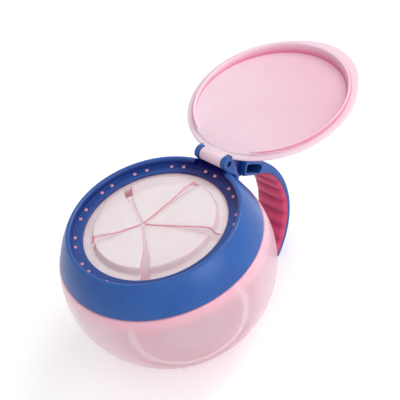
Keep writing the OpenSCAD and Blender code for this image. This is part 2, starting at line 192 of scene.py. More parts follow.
lid_joint = next(joint for joint in frame["joints"] if joint["name"] == "lid_hinge")
hinge_y = lid_joint["pos_m"][1] / MM
hinge_z = lid_joint["pos_m"][2] / MM
ear_x = EAR_SPAN / 2
ear_in = ear_x - EAR_T
ear_back = hinge_y + EAR_R
knuckle_half = ear_in - GAP
knuckle_room = KNUCKLE_R + KNUCKLE_GAP
notch_z = hinge_z - knuckle_room - NOTCH_DROP
lid_r = rim_r + FLANGE_OUT
flange_z = rim_top + GAP
flange_top = flange_z + FLANGE_T
plug_r = rim_r - PLUG_GAP
plug_z = flange_z - PLUG_DEPTH

handle_y = BALL_R - HANDLE_IN
handle_z = BALL_Z - HANDLE_DROP
handle_mid = (handle_y, handle_z)
band_r = HANDLE_R - BAND_T
root_r = HANDLE_R - ROOT_T
grip_r = band_r - GRIP_T
tip_angle = -math.degrees(math.asin((handle_z - TIP_UP) / HANDLE_R))


# ---- Outlines ----

def polar(radius, degrees, centre=(0, 0)):
    angle = math.radians(degrees)
    return centre[0] + radius * math.cos(angle), centre[1] + radius * math.sin(angle)


def arc(centre, radius, start, end, steps):
    """Points along an arc, its two ends among them."""
    return [polar(radius, start + (end - start) * i / steps, centre) for i in range(steps + 1)]


def rounded(corners, steps=5):
    """A closed outline. A corner (x, y, radius) is rounded by an arc, and a point (x, y) stays."""
    points = []
    for i, corner in enumerate(corners):
        here = Vector(corner[:2])
        if len(corner) < 3:
            points.append(tuple(here))
            continue
        back = (Vector(corners[i - 1][:2]) - here).normalized()
        ahead = (Vector(corners[(i + 1) % len(corners)][:2]) - here).normalized()
        half = back.angle(ahead) / 2
        middle = here + (back + ahead).normalized() * (corner[2] / math.sin(half))
        first = here + back * (corner[2] / math.tan(half)) - middle
        last = here + ahead * (corner[2] / math.tan(half)) - middle
        sweep = first.angle_signed(last)
        for k in range(steps + 1):
            turned = Matrix.Rotation(-sweep * k / steps, 2) @ first
            points.append(tuple(middle + turned))
    return points


def round_off(distance, radius):
    """How far a rounded corner falls back at a distance from its end."""
    return radius - math.sqrt(radius ** 2 - max(0.0, radius - distance) ** 2)


def ramp(value, zero, one):
    """Runs smoothly from 0 where value is zero to 1 where it is one, and stays there."""
    t = min(max((value - zero) / (one - zero), 0.0), 1.0)
    return t * t * (3 - 2 * t)


def panel_z(y):
    """Height of the sloping underside of the closed lid's middle."""
    return flange_z + PANEL_RISE - y * math.tan(math.radians(PANEL_TILT))


def inner_r(angle):
    """Radius of the handle's inner face at an angle: band, waist and root, run together."""
    knots = [(-90, band_r), (BAND_END, band_r), (WAIST_END, HANDLE_R - WAIST_T),
             (ROOT_END, root_r), (90, root_r)]

    def straight(at):
        for (low, first), (high, second) in zip(knots, knots[1:]):
            if at <= high:
                return first + (second - first) * (at - low) / (high - low)
        return root_r

    window = range(-4, 5)
    return sum(straight(angle + step) for step in window) / len(window)


# ---- Meshes ----

def new_piece(name, points, faces, crease=CREASE):
    """A smooth-shaded mesh from points in millimetres."""
    mesh = bpy.data.meshes.new(name)
    mesh.from_pydata([Vector(p) * MM for p in points], [], faces)
    piece = bpy.data.objects.new(name, mesh)
    bpy.context.scene.collection.objects.link(piece)
    clean(piece, crease)
    return piece


def clean(piece, crease=CREASE):
    """Welds the mesh, turns its faces outwards and sets its shading."""
    work = bmesh.new()
    work.from_mesh(piece.data)
    bmesh.ops.remove_doubles(work, verts=work.verts, dist=1e-3 * MM)
    bmesh.ops.dissolve_degenerate(work, edges=work.edges, dist=1e-4 * MM)
    bmesh.ops.recalc_face_normals(work, faces=work.faces)
    if work.calc_volume(signed=True) < 0:
        bmesh.ops.reverse_faces(work, faces=work.faces)
    work.to_mesh(piece.data)
    work.free()
    piece.data.shade_smooth()
    piece.data.set_sharp_from_angle(angle=math.radians(crease))


def lathe(name, section, steps=TURN):
    """Turns a closed outline of (radius, height) about Z.

    section is the outline, or a function that gives it for an angle in radians."""
    points, index = [], {}
    for i in range(steps):
        angle = 2 * math.pi * i / steps
        outline = section(angle) if callable(section) else section
        for k, (radius, height) in enumerate(outline):
            if radius == 0 and i > 0:
                index[i, k] = index[0, k]
                continue
            index[i, k] = len(points)
            points.append((radius * math.cos(angle), radius * math.sin(angle), height))
    n = len(outline)
    faces = []
    for i in range(steps):
        for k in range(n):
            here, ahead, above = (i, k), ((i + 1) % steps, k), (k + 1) % n
            corners = (index[here], index[ahead], index[ahead[0], above], index[i, above])
            corners = tuple(dict.fromkeys(corners))
            if len(corners) > 2:
                faces.append(corners)
    return new_piece(name, points, faces)


def prism(name, outline, x_low, x_high):
    """A closed outline in Y and Z, made solid from x_low to x_high."""
    n = len(outline)
    points = [(x_low, y, z) for y, z in outline] + [(x_high, y, z) for y, z in outline]
    faces = [(k, (k + 1) % n, n + (k + 1) % n, n + k) for k in range(n)]
    faces += [tuple(range(n)), tuple(range(2 * n - 1, n - 1, -1))]
    return new_piece(name, points, faces)


def tube(name, rings, crease=CREASE):
    """A closed skin over rings of equal length, with flat ends."""
    n = len(rings[0])
    points = [point for ring in rings for point in ring]
    faces = [(i * n + k, i * n + (k + 1) % n, (i + 1) * n + (k + 1) % n, (i + 1) * n + k)
             for i in range(len(rings) - 1) for k in range(n)]
    faces += [tuple(range(n)), tuple(range(len(points) - 1, len(points) - n - 1, -1))]
    return new_piece(name, points, faces, crease)


def rod(name, centre_y, centre_z, radius, x_low, x_high, steps=48):
    """A plain cutter along X."""
    outline = arc((centre_y, centre_z), radius, 0, 360 - 360 / steps, steps - 1)
    return prism(name, outline, x_low, x_high)


def block(name, low, high):
    """A plain cutter between two corners."""
    outline = [(low[1], low[2]), (high[1], low[2]), (high[1], high[2]), (low[1], high[2])]
    return prism(name, outline, low[0], high[0])


def apply_modifiers(piece):
    """Makes the mesh what its modifiers give."""
    depsgraph = bpy.context.evaluated_depsgraph_get()
    made = bpy.data.meshes.new_from_object(piece.evaluated_get(depsgraph))
    piece.modifiers.clear()
    piece.data = made


def cut(piece, *cutters):
    """Cuts the cutters out of a piece, and removes them."""
    for cutter in cutters:
        step = piece.modifiers.new("cut", "BOOLEAN")
        step.operation = "DIFFERENCE"
        step.object = cutter
        step.solver = "EXACT"
        apply_modifiers(piece)
        bpy.data.objects.remove(cutter)
    clean(piece)


def soften(piece, width):
    """Rounds the piece's sharp edges."""
    step = piece.modifiers.new("soften", "BEVEL")
    step.width = width * MM
    step.segments = 3
    step.limit_method = "ANGLE"
    step.angle_limit = math.radians(CREASE)
    apply_modifiers(piece)
    piece.data.shade_smooth()
    piece.data.set_sharp_from_angle(angle=math.radians(55))


def join(name, pieces):
    """Makes one object of several."""
    work = bmesh.new()
    for piece in pieces:
        work.from_mesh(piece.data)
        bpy.data.objects.remove(piece)
    mesh = bpy.data.meshes.new(name)
    work.to_mesh(mesh)
    work.free()
    joined = bpy.data.objects.new(name, mesh)
    bpy.context.scene.collection.objects.link(joined)
    return joined


def paint(piece, name, value):
    """Stores at each point a number that follows from its place in millimetres."""
    layer = piece.data.attributes.new(name, "FLOAT", "POINT")
    for vertex in piece.data.vertices:
        layer.data[vertex.index].value = value(vertex.co / MM)


def dress(piece, material, body, replaced=()):
    """Gives a piece its material, body and slot, and hides the CAD nodes it stands for."""
    piece.data.materials.clear()
    piece.data.materials.append(material)
    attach(piece, body)
    if replaced:
        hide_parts(*replaced)


# ---- Materials ----

def linear(red, green, blue):
    """A colour as it shows on screen, 0 to 255, as the shader takes it."""
    values = []
    for value in (red, green, blue):
        share = value / 255
        values.append(share / 12.92 if share <= 0.04045 else ((share + 0.055) / 1.055) ** 2.4)
    return (*values, 1.0)


def seen_ray(nodes, links):
    """1 for a ray from the camera, off a gloss or through a clear surface, and 0 for light."""
    path = nodes.new("ShaderNodeLightPath")
    seen = path.outputs["Is Camera Ray"]
    for kind in ("Is Glossy Ray", "Is Transmission Ray"):
        higher = nodes.new("ShaderNodeMath")
        higher.operation = "MAXIMUM"
        links.new(seen, higher.inputs[0])
        links.new(path.outputs[kind], higher.inputs[1])
        seen = higher.outputs[0]
    return seen


class Finish:
    """A procedural material built round one Principled shader.

    The colour and the other plain values stand where no node is linked, and for a viewer that
    doesn't read nodes."""

    def __init__(self, name, colour, roughness, **sockets):
        self.material = bpy.data.materials.new(name)
        self.material.use_nodes = True
        self.nodes = self.material.node_tree.nodes
        self.links = self.material.node_tree.links
        self.shader = self.nodes["Principled BSDF"]
        self.shader.inputs["Base Color"].default_value = colour
        self.shader.inputs["Roughness"].default_value = roughness
        for socket, value in sockets.items():
            self.shader.inputs[socket.replace("_", " ")].default_value = value
        self.place = self.nodes.new("ShaderNodeTexCoord").outputs["Object"]

    def noise(self, size, detail=3.0):
        """Noise whose blots are about size millimetres across."""
        node = self.nodes.new("ShaderNodeTexNoise")
        node.inputs["Scale"].default_value = 1 / (size * MM)
        node.inputs["Detail"].default_value = detail
        self.links.new(self.place, node.inputs["Vector"])
        return node.outputs["Fac"]

    def spread(self, factor, low, high, start=0.3, end=0.7):
        """Maps a factor to a range."""
        node = self.nodes.new("ShaderNodeMapRange")
        node.inputs["From Min"].default_value = start
        node.inputs["From Max"].default_value = end
        node.inputs["To Min"].default_value = low
        node.inputs["To Max"].default_value = high
        self.links.new(factor, node.inputs["Value"])
        return node.outputs["Result"]

    def colours(self, factor, first, second):
        """Mixes two colours by a factor into the base colour. Either may be an earlier mix."""
        node = self.nodes.new("ShaderNodeMix")
        node.data_type = "RGBA"
        for socket, colour in (("A", first), ("B", second)):
            if isinstance(colour, tuple):
                node.inputs[socket].default_value = colour
            else:
                self.links.new(colour, node.inputs[socket])
        self.links.new(factor, node.inputs["Factor"])
        self.links.new(node.outputs["Result"], self.shader.inputs["Base Color"])
        return node.outputs["Result"]

    def mottle(self, size, first, second):
        """Lets the base colour drift between two colours, in blots of a size."""
        return self.colours(self.spread(self.noise(size), 0, 1), first, second)

    def rough(self, factor, low, high):
        """Roughness between two values."""
        self.links.new(self.spread(factor, low, high), self.shader.inputs["Roughness"])

    def bump(self, *layers):
        """Bump from (factor, depth in millimetres) layers, one over another."""
        normal = None
        for factor, depth in layers:
            node = self.nodes.new("ShaderNodeBump")
            node.inputs["Strength"].default_value = 1.0
            node.inputs["Distance"].default_value = depth * MM
            self.links.new(factor, node.inputs["Height"])
            if normal:
                self.links.new(normal, node.inputs["Normal"])
            normal = node.outputs["Normal"]
        self.links.new(normal, self.shader.inputs["Normal"])

    def attribute(self, name):
        """A value stored at the mesh's points."""
        node = self.nodes.new("ShaderNodeAttribute")
        node.attribute_name = name
        return node.outputs["Fac"]

    def veil(self, factor, low, high):
        """How far the surface hides what lies behind it."""
        self.links.new(self.spread(factor, low, high, 0, 1), self.shader.inputs["Alpha"])


def collar_finish():
    """Moulded blue polypropylene with a soft gloss and faint flow marks, and painted shade in its
    recesses.
    """
    made = Finish("collar_plastic", linear(36, 98, 180), 0.32, Specular_IOR_Level=0.4,
                  Subsurface_Weight=0.08, Subsurface_Scale=1.2 * MM)
    base = made.mottle(14, linear(26, 80, 156), linear(34, 89, 165))
    # painted shade: dark indigo on the ledge, the rim's inner wall, the hinge's notch and other
    # recesses
    made.colours(made.attribute("inside"), base, linear(14, 14, 100))
    made.rough(made.noise(2.2), 0.28, 0.38)
    made.bump((made.noise(9, 1), 0.05), (made.noise(0.5), 0.004))
    return made.material


def lid_finish():
    """Opaque pale pink polypropylene, satin, that lets a little light in, with painted shade round
    its plug ring.
    """
    made = Finish("lid_plastic", linear(241, 208, 223), 0.42, Specular_IOR_Level=0.45,
                  Subsurface_Weight=0.35, Subsurface_Scale=2.5 * MM)
    made.shader.inputs["Subsurface Radius"].default_value = (1.0, 0.45, 0.55)
    base = made.mottle(22, linear(236, 207, 219), linear(239, 212, 223))
    # painted shade: deeper pink in the plug ring's corner and across one side of the floor
    made.colours(made.attribute("ring"), base, linear(222, 104, 146))
    made.rough(made.noise(3), 0.38, 0.48)
    made.bump((made.noise(12, 1), 0.05), (made.noise(0.6), 0.004))
    return made.material


def bowl_finish():
    """Translucent tinted polypropylene: milky, darker where it is thick, with painted shadow and
    painted light.
    """
    made = Finish("bowl_plastic", linear(248, 205, 220), 0.3, IOR=1.49, Alpha=0.45,
                  Specular_IOR_Level=0.5, Coat_Weight=0.25, Coat_Roughness=0.2,
                  Subsurface_Weight=0.5, Subsurface_Scale=3 * MM)
    made.shader.inputs["Subsurface Radius"].default_value = (1.0, 0.8, 0.85)
    base = made.mottle(40, linear(254, 206, 218), linear(255, 211, 222))
    # deeper pink at the thick foot, and painted shadow below the collar's shoulder
    base = made.colours(made.attribute("thickness_and_shade"), base, linear(230, 142, 170))
    # painted light: the inside wall whitened as if brightly lit
    made.colours(made.attribute("inner"), base, linear(255, 244, 247))
    made.links.new(made.attribute("veil"), made.shader.inputs["Alpha"])
    return made.material


def guard_finish():
    """Clear soft elastomer with a rose tint, slightly cloudy."""
    made = Finish("guard_rubber", linear(250, 236, 236), 0.22, IOR=1.43, Alpha=0.6,
                  Specular_IOR_Level=0.5, Coat_Weight=0.4, Coat_Roughness=0.1,
                  Subsurface_Weight=0.7, Subsurface_Scale=2 * MM)
    made.shader.inputs["Subsurface Radius"].default_value = (1.0, 0.8, 0.85)
    base = made.mottle(16, linear(254, 236, 237), linear(255, 241, 241))
    made.colours(made.attribute("edge"), base, linear(238, 166, 188))
    made.veil(made.attribute("edge"), 0.58, 0.95)
    made.rough(made.noise(3), 0.16, 0.28)
    made.bump((made.noise(10, 1), 0.06), (made.noise(0.7), 0.003))
    return made.material


def peg_finish():
    """The same elastomer where it is thick: the heads of the pegs, with painted shade in their
    hollows.
    """
    made = Finish("guard_pegs", linear(236, 160, 194), 0.25, Specular_IOR_Level=0.5,
                  Coat_Weight=0.4, Coat_Roughness=0.1)
    # painted shade in the hollow of each peg's head
    made.colours(made.attribute("hollow"), linear(244, 172, 204), linear(150, 70, 110))
    made.rough(made.noise(1), 0.2, 0.3)
    made.bump((made.noise(0.6), 0.003))
    return made.material


def grip_finish():
    """Soft-touch crimson elastomer, with painted shade in its grooves."""
    made = Finish("grip_rubber", linear(186, 62, 104), 0.5, Specular_IOR_Level=0.4,
                  Subsurface_Weight=0.2, Subsurface_Scale=1.5 * MM, Sheen_Weight=0.1)
    # painted shade: darker crimson in the grooves between the ribs
    made.colours(made.attribute("groove_shade"), linear(216, 76, 120), linear(168, 18, 96))
    made.rough(made.noise(1.5), 0.46, 0.58)
    made.bump((made.noise(0.4), 0.012))
    return made.material


def pin_finish():
    """Dull drawn steel, finely mottled."""
    made = Finish("pin_steel", linear(96, 98, 106), 0.4, Metallic=1.0)
    made.mottle(1.2, linear(84, 86, 94), linear(110, 112, 120))
    made.rough(made.noise(0.4), 0.25, 0.42)
    made.bump((made.noise(0.15), 0.004))
    return made.material


def seal_finish():
    """Matt white silicone."""
    made = Finish("seal_silicone", linear(236, 236, 234), 0.55,
                  Subsurface_Weight=0.2, Subsurface_Scale=1.0 * MM)
    made.mottle(6, linear(232, 232, 230), linear(240, 240, 238))
    made.rough(made.noise(1.2), 0.5, 0.62)
    made.bump((made.noise(0.3), 0.006))
    return made.material


def floor_finish():
    """White. It glows a little to the camera and in reflections, and keeps the shadow."""
    made = Finish("studio_floor", linear(250, 250, 250), 0.9, Specular_IOR_Level=0.0)
    made.shader.inputs["Emission Color"].default_value = (1, 1, 1, 1)
    made.mottle(200, linear(249, 249, 249), linear(251, 251, 251))
    glow = made.spread(seen_ray(made.nodes, made.links), 0, FLOOR_GLOW, 0, 1)
    made.links.new(glow, made.shader.inputs["Emission Strength"])
    return made.material


# ---- Bowl ----

def make_bowl(material):
    """The ball-shaped bowl with its neck, foot and thread ridges."""
    def wall_angle(z, radius):
        return math.degrees(math.asin((z - BALL_Z) / radius))

    inner_arc = WALL_ARC - BOWL_WALL
    base_arc = BALL_Z - FLOOR_T
    foot_angle = wall_angle(FOOT_H, WALL_ARC)
    foot_r = polar(WALL_ARC, foot_angle, (wall_mid, BALL_Z))[0] - 0.3
    groove_in, groove_out, groove_d = foot_r - 3, foot_r - 1.2, 0.4
    foot = [(0, 0), (groove_in, 0, 0.3), (groove_in + 0.4, groove_d, 0.3),
            (groove_out - 0.4, groove_d, 0.3), (groove_out, 0, 0.3), (foot_r, 0, 0.7)]
    outer = arc((wall_mid, BALL_Z), WALL_ARC, foot_angle + 1, wall_angle(SEAT_Z, WALL_ARC), 60)
    neck = [(*outer[-1], 0.35), (neck_r, SEAT_Z, 0.5), (neck_r, neck_top, 0.3),
            (neck_in, neck_top, 0.6), (neck_in, SEAT_Z - BOWL_WALL, 1.0)]
    inside = arc((wall_mid, BALL_Z), inner_arc, wall_angle(SEAT_Z - BOWL_WALL, inner_arc), 0, 16)
    inside += arc((bowl_r - BOWL_WALL - base_arc, BALL_Z), base_arc, 0, -90, 60)[1:]
    outline = rounded(foot + outer[:-1] + neck + inside[1:] + [(0, FLOOR_T)])
    bowl = lathe("bowl_shell", outline)
    ridges = thread("bowl_ridges", neck_r - 0.3, neck_r + THREAD_DEPTH, neck_top - RIDGE_DOWN,
                    RIDGE_ARC)
    shell = join("bowl_shell", [bowl, ridges])

    def inner(point):
        """Painted light: 1 on the inside below the neck, and 0 elsewhere."""
        from_ball = (point - Vector((0, 0, BALL_Z))).length
        return float(FLOOR_T - 1 < point.z < SEAT_Z - 3.5 and from_ball < BALL_R - 1.5)

    def thickness_and_shade(point):
        """Deeper tint at the thick foot, and a fainter painted shadow rising to the shoulder below
        the collar.
        """
        at_foot = ramp(point.z, 17, 6)
        shoulder_shadow = ramp(point.z, SEAT_Z - 13, SEAT_Z)
        return at_foot + 0.36 * shoulder_shadow

    def veil(point):
        """How much the wall hides what is behind it: most at the foot and the neck."""
        if inner(point):
            return 0.2
        under_neck = ramp(point.z, SEAT_Z - 8, SEAT_Z)
        return 0.42 + 0.34 * thickness_and_shade(point) + 0.36 * under_neck

    paint(shell, "inner", inner)
    paint(shell, "thickness_and_shade", thickness_and_shade)
    paint(shell, "veil", veil)
    dress(shell, material, "bowl", ["bowl"])


def thread(name, root, crest, z, span):
    """Short stretches of thread along a helix, with rounded ends. crest may lie inside root."""
    section = [(root, -THREAD_ROOT), (crest, -THREAD_CREST), (crest, THREAD_CREST),
               (root, THREAD_ROOT)]
    steps = 24
    points, faces = [], []
    for start in range(THREAD_STARTS):
        base = len(points)
        middle = THREAD_FROM + 360 / THREAD_STARTS * start
        for i in range(steps + 1):
            share = i / steps - 0.5
            fade = math.sqrt(max(0.0, 1 - abs(2 * share) ** 8))
            angle = math.radians(middle + share * span)
            rise = z + THREAD_LEAD * share * span / 360
            for radius, height in section:
                r = root + (radius - root) * max(fade, 0.05)
                z_here = rise + height * max(fade, 0.3)
                points.append((r * math.cos(angle), r * math.sin(angle), z_here))
        for i in range(steps):
            a, b = base + 4 * i, base + 4 * (i + 1)
            faces += [(a + k, b + k, b + (k + 1) % 4, a + (k + 1) % 4) for k in range(4)]
        last = base + 4 * steps
        faces += [tuple(range(base, base + 4)), tuple(range(last + 3, last - 1, -1))]
    return new_piece(name, points, faces)


# ---- Collar ----

def make_collar(material):
    """The screw collar with its rim, ledge, skirt, lugs and ears."""
    foot_lean = math.degrees(math.asin((foot_z - BALL_Z) / BALL_R))
    skin = arc((0, BALL_Z), BALL_R, foot_lean, crest_lean, 40)
    crest = arc((crest_mid, crest_z), RIM_ROUND, crest_lean, 180, 20)
    inner_r = BALL_R - SKIN_T
    inner_foot = math.degrees(math.asin((foot_z - BALL_Z) / inner_r))
    inner_top = math.degrees(math.acos((bore_r + SKIRT_T) / inner_r))
    inner_skin = arc((0, BALL_Z), inner_r, inner_top, inner_foot, 16)
    outline = rounded(
        [(*skin[0], 0.45)] + skin[2:-1] + crest
        + [(rim_r, ledge_top, 0.4), (ledge_r, ledge_top, 0.3), (ledge_r, ledge_z, 0.3),
           (guard_r + GAP, ledge_z), (guard_r + GAP, guard_z), (bore_r, guard_z),
           (bore_r, foot_z, 0.3), (bore_r + SKIRT_T, foot_z, 0.3)]
        + inner_skin[:-1] + [(*inner_skin[-1], 0.2)])
    collar = lathe("collar_shell", outline)
    notch = block("notch", (-ear_in, rim_r - 3, notch_z), (ear_in, hinge_y + 1, rim_top + 5))
    front = block("front", (-ear_x, rim_r - 3, notch_z), (ear_x, hinge_y - 2.6, rim_top + 5))
    hole_r = PEG_HOLE_D / 2
    holes = peg_circle([(0, ledge_z - 1), (hole_r, ledge_z - 1), (hole_r, ledge_top + 1),
                        (0, ledge_top + 1)])
    cut(collar, notch, front, join("holes", holes))
    lug_z = neck_top - RIDGE_DOWN - THREAD_CREST - THREAD_ROOT - 0.1
    lugs = thread("lugs", bore_r + 0.3, neck_r + GAP, lug_z, LUG_ARC)
    shell = join("collar_shell", [collar, lugs])

    def inside(point):
        """Painted shade: 1 on the ledge, on the rim's inner wall and in the hinge's notch, and 0
        outside.
        """
        if point.z < ledge_z - 0.1:
            return 0.0
        if point.y > 0 and point.z > notch_z - 0.1 and abs(point.x) < ear_x + 0.1:
            return 1.0
        radius = point.xy.length
        # the painted shade deepens near the hinge, under the lid's knuckle
        shade_by_hinge = ramp((point.xy - Vector((8, rim_r))).length, 32, 16)
        if point.z < ledge_top + 0.3 and radius < rim_r - 0.3:
            return 0.42 + 0.58 * shade_by_hinge
        return (0.6 + 0.4 * shade_by_hinge) * ramp(radius, rim_r + 0.9, rim_r + 0.2)

    paint(shell, "inside", inside)
    dress(shell, material, "collar", ["collar"])
    for side, name in ((-1, "ear_left"), (1, "ear_right")):
        dress(make_ear(name, side), material, "collar")


def make_ear(name, side):
    """A web up the ball's side with a round head about the pin."""
    foot = BALL_Z + math.sqrt(BALL_R ** 2 - ear_back ** 2) - 0.5
    head = arc((hinge_y, hinge_z), EAR_R, 0, 180, 28)
    outline = head + [(hinge_y - 2.2, rim_top - 1), (bore_r + SKIRT_T, guard_z),
                      (bore_r + SKIRT_T, foot), (ear_back, foot)]
    x_low, x_high = sorted((side * ear_in, side * ear_x))
    ear = prism(name, outline, x_low, x_high)
    cut(ear, rod("pin_hole", hinge_y, hinge_z, PIN_D / 2 + 0.02, x_low - 1, x_high + 1))
    soften(ear, 0.45)

    def inside(point):
        """Painted shade: 1 on the face that looks at the knuckle and in the pin's hole."""
        from_pin = math.hypot(point.y - hinge_y, point.z - hinge_z)
        return float(abs(point.x) < ear_in + 0.2 or from_pin < PIN_D / 2 + 0.2)

    paint(ear, "inside", inside)
    return ear


def peg_circle(outline):
    """The same small lathed piece at every place of the pegs' circle."""
    pegs = []
    for k in range(PEG_PAIRS):
        for side in (-1, 1):
            peg = lathe(f"peg_{k}_{side}", outline, steps=20)
            x, y = polar(peg_r, 90 + 360 / PEG_PAIRS * k + side * PEG_HALF_ANGLE)
            peg.data.transform(Matrix.Translation(Vector((x, y, 0)) * MM))
            pegs.append(peg)
    return pegs


# ---- Handle ----

def make_arm(material):
    """The arm: a curved band with a wide root and side pockets."""
    def station(angle):
        """Inner radius, outer radius and half width at an angle of the handle's curve."""
        along = math.radians(angle - tip_angle) * HANDLE_R
        to_end = math.radians(SHOULDER_ANGLE - angle) * HANDLE_R
        inner, outer, half = inner_r(angle), HANDLE_R, HANDLE_W / 2
        half -= round_off(along, TIP_CORNER)
        shrink = round_off(min(along, to_end), END_EDGE)
        return inner + shrink, outer - shrink, half - shrink

    def section(inner, outer, half):
        """The bar's section: (radius, x) round its four rounded edges."""
        edge = min(BAR_EDGE, (outer - inner) * 0.4)
        return rounded([(inner, -half, edge), (outer, -half, edge), (outer, half, edge),
                        (inner, half, edge)])

    ends = [0, 0.02, 0.1, 0.25, 0.5, 0.9, 1.4, 2, 2.8]
    span = SHOULDER_ANGLE - tip_angle - 2 * ends[-1]
    angles = [tip_angle + a for a in ends[:-1]]
    angles += [tip_angle + ends[-1] + span * i / 90 for i in range(91)]
    angles += [SHOULDER_ANGLE - a for a in ends[-2::-1]]
    rings = [[(x, *polar(radius, angle, handle_mid)) for radius, x in section(*station(angle))]
             for angle in angles]
    arm = tube("arm_band", rings)
    low, high = ROOT_END - 2.8, SHOULDER_ANGLE - 1.5
    far_r, near_r = HANDLE_R - POCKET_WALL, root_r + POCKET_WALL
    reach = (ROOT_T - 2 * POCKET_WALL) / 2
    outline = rounded(
        arc(handle_mid, far_r, low, high - 3, 10)
        + [(*polar(far_r, high, handle_mid), 0.8), (*polar(near_r, high, handle_mid), 0.8)]
        + arc(handle_mid, near_r, high - 3, low, 10)
        + arc(polar(HANDLE_R - ROOT_T / 2, low, handle_mid), reach, low - 170, low - 10, 16))
    pockets = []
    for side in (-1, 1):
        x_low, x_high = sorted((side * POCKET_WEB / 2, side * (HANDLE_W / 2 + 2)))
        pockets.append(prism("pocket", outline, x_low, x_high))
    cut(arm, *pockets)
    # painted shade on the web at the bottom of the side pockets
    paint(arm, "inside", lambda p: float(abs(p.x) < POCKET_WEB / 2 + 0.1))
    dress(arm, material, "collar", ["handle_arm"])


def make_core(material):
    """The narrow core between the ears, with the flat on which the open lid rests."""
    rest_z = 2 * hinge_z - flange_top - CORE_GAP
    rest_from = hinge_y + knuckle_room
    outline = rounded([(bore_r + 0.4, SEAT_Z + 5.5),
                       (*polar(root_r + 0.9, ROOT_END + 3, handle_mid), 0.5),
                       polar(HANDLE_R - 1.0, SHOULDER_ANGLE - 2, handle_mid),
                       (rest_from + 4, rest_z, 0.8), (rest_from, rest_z, 0.4),
                       (rest_from, hinge_z - knuckle_room / 2, 1.0),
                       (hinge_y, hinge_z - knuckle_room - 2.2)])
    half = ear_in - CORE_GAP
    core = prism("arm_core", outline, -half, half)
    soften(core, 0.3)
    # painted shade over the core between the ears, lighter on the flat where the lid rests
    paint(core, "inside", lambda p: 1 - 0.6 * ramp(p.z, rest_z - 1, rest_z))
    dress(core, material, "collar")


def make_grip(material):
    """The soft grip: crowned across, with round ribs one after another."""
    pitch = (GRIP_END - tip_angle - 4) / RIBS
    first = tip_angle + 0.6
    half = HANDLE_W / 2 - 0.1
    end_run = 1.6
    rows, columns = 15 * RIBS, 28
    rings = []

    def rib(angle):
        """1 on a rib's crest and 0 in a groove."""
        phase = (angle - tip_angle - 2.5) / pitch
        return abs(math.sin(math.pi * min(max(phase, 0), RIBS)))

    def groove_shade(point):
        """Painted shade: 1 in the middle of a groove, less towards its ends, and 0 on a rib's
        crest.
        """
        angle = math.degrees(math.atan2(point.z - handle_z, point.y - handle_y))
        return (1 - rib(angle)) * (1 - 0.65 * abs(point.x / half) ** RIB_SQUARE)

    for i in range(rows + 1):
        angle = first + (GRIP_END - first) * i / rows
        along = math.radians(angle - first) * grip_r
        to_end = math.radians(GRIP_END - angle) * grip_r
        width = half - round_off(along + 0.6, TIP_CORNER)
        end = min(1.0, math.sqrt(max(0.0, min(along, to_end) / end_run)))
        seat = inner_r(angle) - 0.1
        ring = []
        for j in range(columns + 1):
            across = 2 * j / columns - 1
            crown = 1 - abs(across) ** RIB_SQUARE
            side = math.sqrt(max(0.0, 1 - abs(across) ** 14))
            height = (RIB_H + RIB_EXTRA) * rib(angle) ** 1.2 * crown - RIB_EXTRA
            rise = (seat - grip_r + height) * side * end
            ring.append((across * width, *polar(seat - rise, angle, handle_mid)))
        ring += [(j * width, *polar(seat, angle, handle_mid)) for j in (1, 0, -1)]
        rings.append(ring)
    grip = tube("grip_pad", rings, crease=60)
    paint(grip, "groove_shade", groove_shade)
    dress(grip, material, "collar", ["handle_grip"])


# ---- Snack guard ----

def make_guard(material):
    """Five soft leaves, each a fifth of the ring with its step and flap, and the pegs."""
    for k in range(LEAVES):
        leaf = make_leaf(k)
        leaf.data.materials.append(material)
        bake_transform(leaf)
        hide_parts(f"flap_{k + 1}", *(["snack_guard"] if k == 0 else []))
    top = ledge_top + 0.25
    hollow_z = top - 0.5
    outline = rounded([(0, hollow_z), (0.3, hollow_z, 0.08), (0.42, top, 0.1),
                       (PEG_D / 2, top, 0.25), (PEG_D / 2, ledge_z - 0.2), (0, ledge_z - 0.2)], 3)
    pegs = join("guard_pegs", peg_circle(outline))
    # painted shade inside the hollow of each peg's head
    paint(pegs, "hollow", lambda p: float(p.z < hollow_z + 0.15))
    dress(pegs, peg_finish(), "collar")


def leaf_profile():
    """(radius, top height, bottom height) from the star out to the guard's edge."""
    step_in, step_out = (dome_r + 0.1) * 0.97, dome_r + DOME_WALL + 0.6
    rows = []
    for i in range(22):
        rows.append(((dome_r + 0.1) * (0.04 + 0.93 * i / 21), dome_top, dome_under))
    for i in range(1, 13):
        share = i / 12
        radius = step_in + (step_out - step_in) * share
        top = dome_top + (ledge_z - dome_top) * ramp(share, 0.25, 1)
        under = dome_under + (guard_z - dome_under) * ramp(share, 0.02, 0.74)
        rows.append((radius, top, under))
    outer = [step_foot - 0.02, step_foot + 0.02, step_out + 0.6, ledge_r - 3, slit_end - 1.2,
             slit_end - 0.4, slit_end, slit_end + 0.05, ledge_r + 1, ledge_r + 4, guard_r - 0.3,
             guard_r]
    rows += [(radius, ledge_z - 0.02, guard_z) for radius in outer]
    return rows


def slit_half_width(radius, k):
    """Half of slit k's width: narrow in the middle, wide at the step, closed past its end.

    The first two slits run out over the flat ring, and the others end at the step's foot."""
    if radius > (slit_end if k % LEAVES < 2 else step_foot):
        return 0.0
    waist = 0.5 * dome_r
    narrow = SLIT_HALF + 0.35 * ramp(radius, 4, 4 + waist)
    return narrow + (SLIT_FLARE - narrow) * ramp(radius, waist, dome_r - 1.5)


def slit_course(radius):
    """Where the slits' circle of a radius has its middle, and how far round they sway there."""
    centre = STAR * max(0.0, 1 - radius / (dome_r - 0.6))
    return centre, SWAY * math.sin(math.pi * min(1.0, radius / dome_r))


